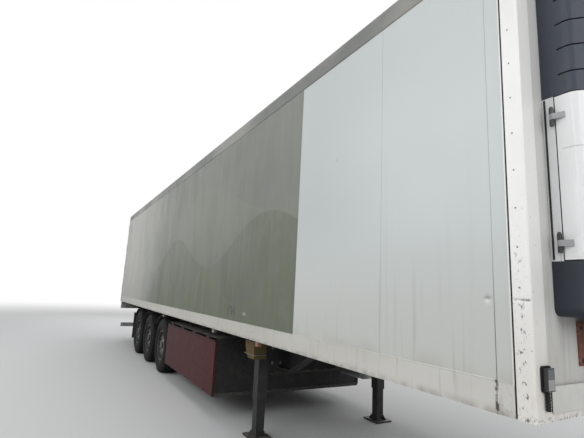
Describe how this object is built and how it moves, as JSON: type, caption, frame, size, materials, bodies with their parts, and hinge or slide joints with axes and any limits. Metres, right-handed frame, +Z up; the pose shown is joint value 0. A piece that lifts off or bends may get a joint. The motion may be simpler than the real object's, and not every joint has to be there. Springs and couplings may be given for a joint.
{
  "type": "refrigerated semi-trailer",
  "caption": "Box semi-trailer with foamed walls, rear swing doors, nose-mounted cooling unit, pallet box, air-sprung axles and landing legs.",
  "frame": {"origin": "on the floor under the middle of the overall length and width", "axes": "+X forward to the cooling unit, +Y to the left, +Z up"},
  "size_m": [14.12, 2.6, 4],
  "materials": {
    "white_panel": "weathered white skin",
    "roof_skin": "weathered white skin",
    "white_steel": "white paint, chipped",
    "stainless": "brushed",
    "galvanised": "dull zinc",
    "black_steel": "dusty black paint",
    "maroon_steel": "faded dark red paint",
    "grey_steel": "dark grey paint",
    "black_rubber": "matt",
    "tyre": "dusty",
    "rim_paint": "silver paint",
    "axle_iron": "dusty black",
    "black_plastic": "matt",
    "lamp_plastic": "lens",
    "dark_shroud": "dark slate moulding",
    "white_moulding": "white gel coat",
    "engine_iron": "grey iron",
    "rust_steel": "rusty brown paint",
    "yellow_plastic": "yellow",
    "aluminium": "dull",
    "white_plastic": "white"
  },
  "bodies": {
    "trailer": {"floor_panel": "white_panel", "side_wall_right": "white_panel", "side_wall_left": "white_panel", "roof_panel": "roof_skin", "front_wall": "white_panel", "front_frame": "white_steel", "corner_seals": "black_rubber", "side_rails": "white_steel", "evaporator_housing": "white_plastic", "rear_frame": "stainless", "dock_buffers": "black_rubber", "rear_lamps": "lamp_plastic", "underrun_bar": "galvanised", "chassis_beams": "black_steel", "cross_members": "black_steel", "coupler_plate": "black_steel", "kingpin": "engine_iron", "leg_housings": "grey_steel", "leg_feet": "grey_steel", "trailing_arms": "axle_iron", "air_springs": "black_rubber", "axle_beams": "axle_iron", "mudguards": "black_plastic", "pallet_box": "grey_steel", "air_tanks": "black_steel", "fuel_tank": "aluminium", "marker_lamps": "lamp_plastic", "unit_shroud": "dark_shroud", "unit_fairing": "dark_shroud", "unit_bay": "black_steel", "engine_block": "engine_iron", "coupling_board": "rust_steel", "wheel_chock": "yellow_plastic"},
    "rear_door_right": {"door_right_panel": "white_panel", "door_right_fittings": "galvanised"},
    "rear_door_left": {"door_left_panel": "white_panel", "door_left_fittings": "galvanised"},
    "box_flap_right": {"box_flap_right": "maroon_steel"},
    "box_flap_left": {"box_flap_left": "maroon_steel"},
    "unit_door_right": {"unit_door_right": "white_moulding"},
    "unit_door_left": {"unit_door_left": "white_moulding"},
    "wheel_right_1": {"wheel_right_1_rim": "rim_paint", "wheel_right_1_tyre": "tyre"},
    "wheel_right_2": {"wheel_right_2_rim": "rim_paint", "wheel_right_2_tyre": "tyre"},
    "wheel_right_3": {"wheel_right_3_rim": "rim_paint", "wheel_right_3_tyre": "tyre"},
    "wheel_left_1": {"wheel_left_1_rim": "rim_paint", "wheel_left_1_tyre": "tyre"},
    "wheel_left_2": {"wheel_left_2_rim": "rim_paint", "wheel_left_2_tyre": "tyre"},
    "wheel_left_3": {"wheel_left_3_rim": "rim_paint", "wheel_left_3_tyre": "tyre"}
  },
  "joints": [
    {"name": "rear_door_right_swing", "type": "hinge", "parent": "trailer", "child": "rear_door_right", "pos_m": [-7.03, -1.285, 1.3], "axis": [0, 0, 1], "range_deg": [0, 270]},
    {"name": "rear_door_left_swing", "type": "hinge", "parent": "trailer", "child": "rear_door_left", "pos_m": [-7.03, 1.285, 1.3], "axis": [0, 0, -1], "range_deg": [0, 270]},
    {"name": "box_flap_right_lift", "type": "hinge", "parent": "trailer", "child": "box_flap_right", "pos_m": [0.8175, -1.253, 1.039], "axis": [-1, 0, 0], "range_deg": [0, 90]},
    {"name": "box_flap_left_lift", "type": "hinge", "parent": "trailer", "child": "box_flap_left", "pos_m": [0.8175, 1.253, 1.039], "axis": [1, 0, 0], "range_deg": [0, 90]},
    {"name": "unit_door_right_swing", "type": "hinge", "parent": "trailer", "child": "unit_door_right", "pos_m": [6.681, -1.106, 2], "axis": [0, 0, -1], "range_deg": [0, 110]},
    {"name": "unit_door_left_swing", "type": "hinge", "parent": "trailer", "child": "unit_door_left", "pos_m": [6.681, 1.106, 2], "axis": [0, 0, 1], "range_deg": [0, 110]},
    {"name": "wheel_right_1_roll", "type": "hinge", "parent": "trailer", "child": "wheel_right_1", "pos_m": [-1.169, -1.0555, 0.53], "axis": [0, 1, 0], "continuous": true},
    {"name": "wheel_right_2_roll", "type": "hinge", "parent": "trailer", "child": "wheel_right_2", "pos_m": [-2.479, -1.0555, 0.53], "axis": [0, 1, 0], "continuous": true},
    {"name": "wheel_right_3_roll", "type": "hinge", "parent": "trailer", "child": "wheel_right_3", "pos_m": [-3.789, -1.0555, 0.53], "axis": [0, 1, 0], "continuous": true},
    {"name": "wheel_left_1_roll", "type": "hinge", "parent": "trailer", "child": "wheel_left_1", "pos_m": [-1.169, 1.0555, 0.53], "axis": [0, 1, 0], "continuous": true},
    {"name": "wheel_left_2_roll", "type": "hinge", "parent": "trailer", "child": "wheel_left_2", "pos_m": [-2.479, 1.0555, 0.53], "axis": [0, 1, 0], "continuous": true},
    {"name": "wheel_left_3_roll", "type": "hinge", "parent": "trailer", "child": "wheel_left_3", "pos_m": [-3.789, 1.0555, 0.53], "axis": [0, 1, 0], "continuous": true}
  ]
}
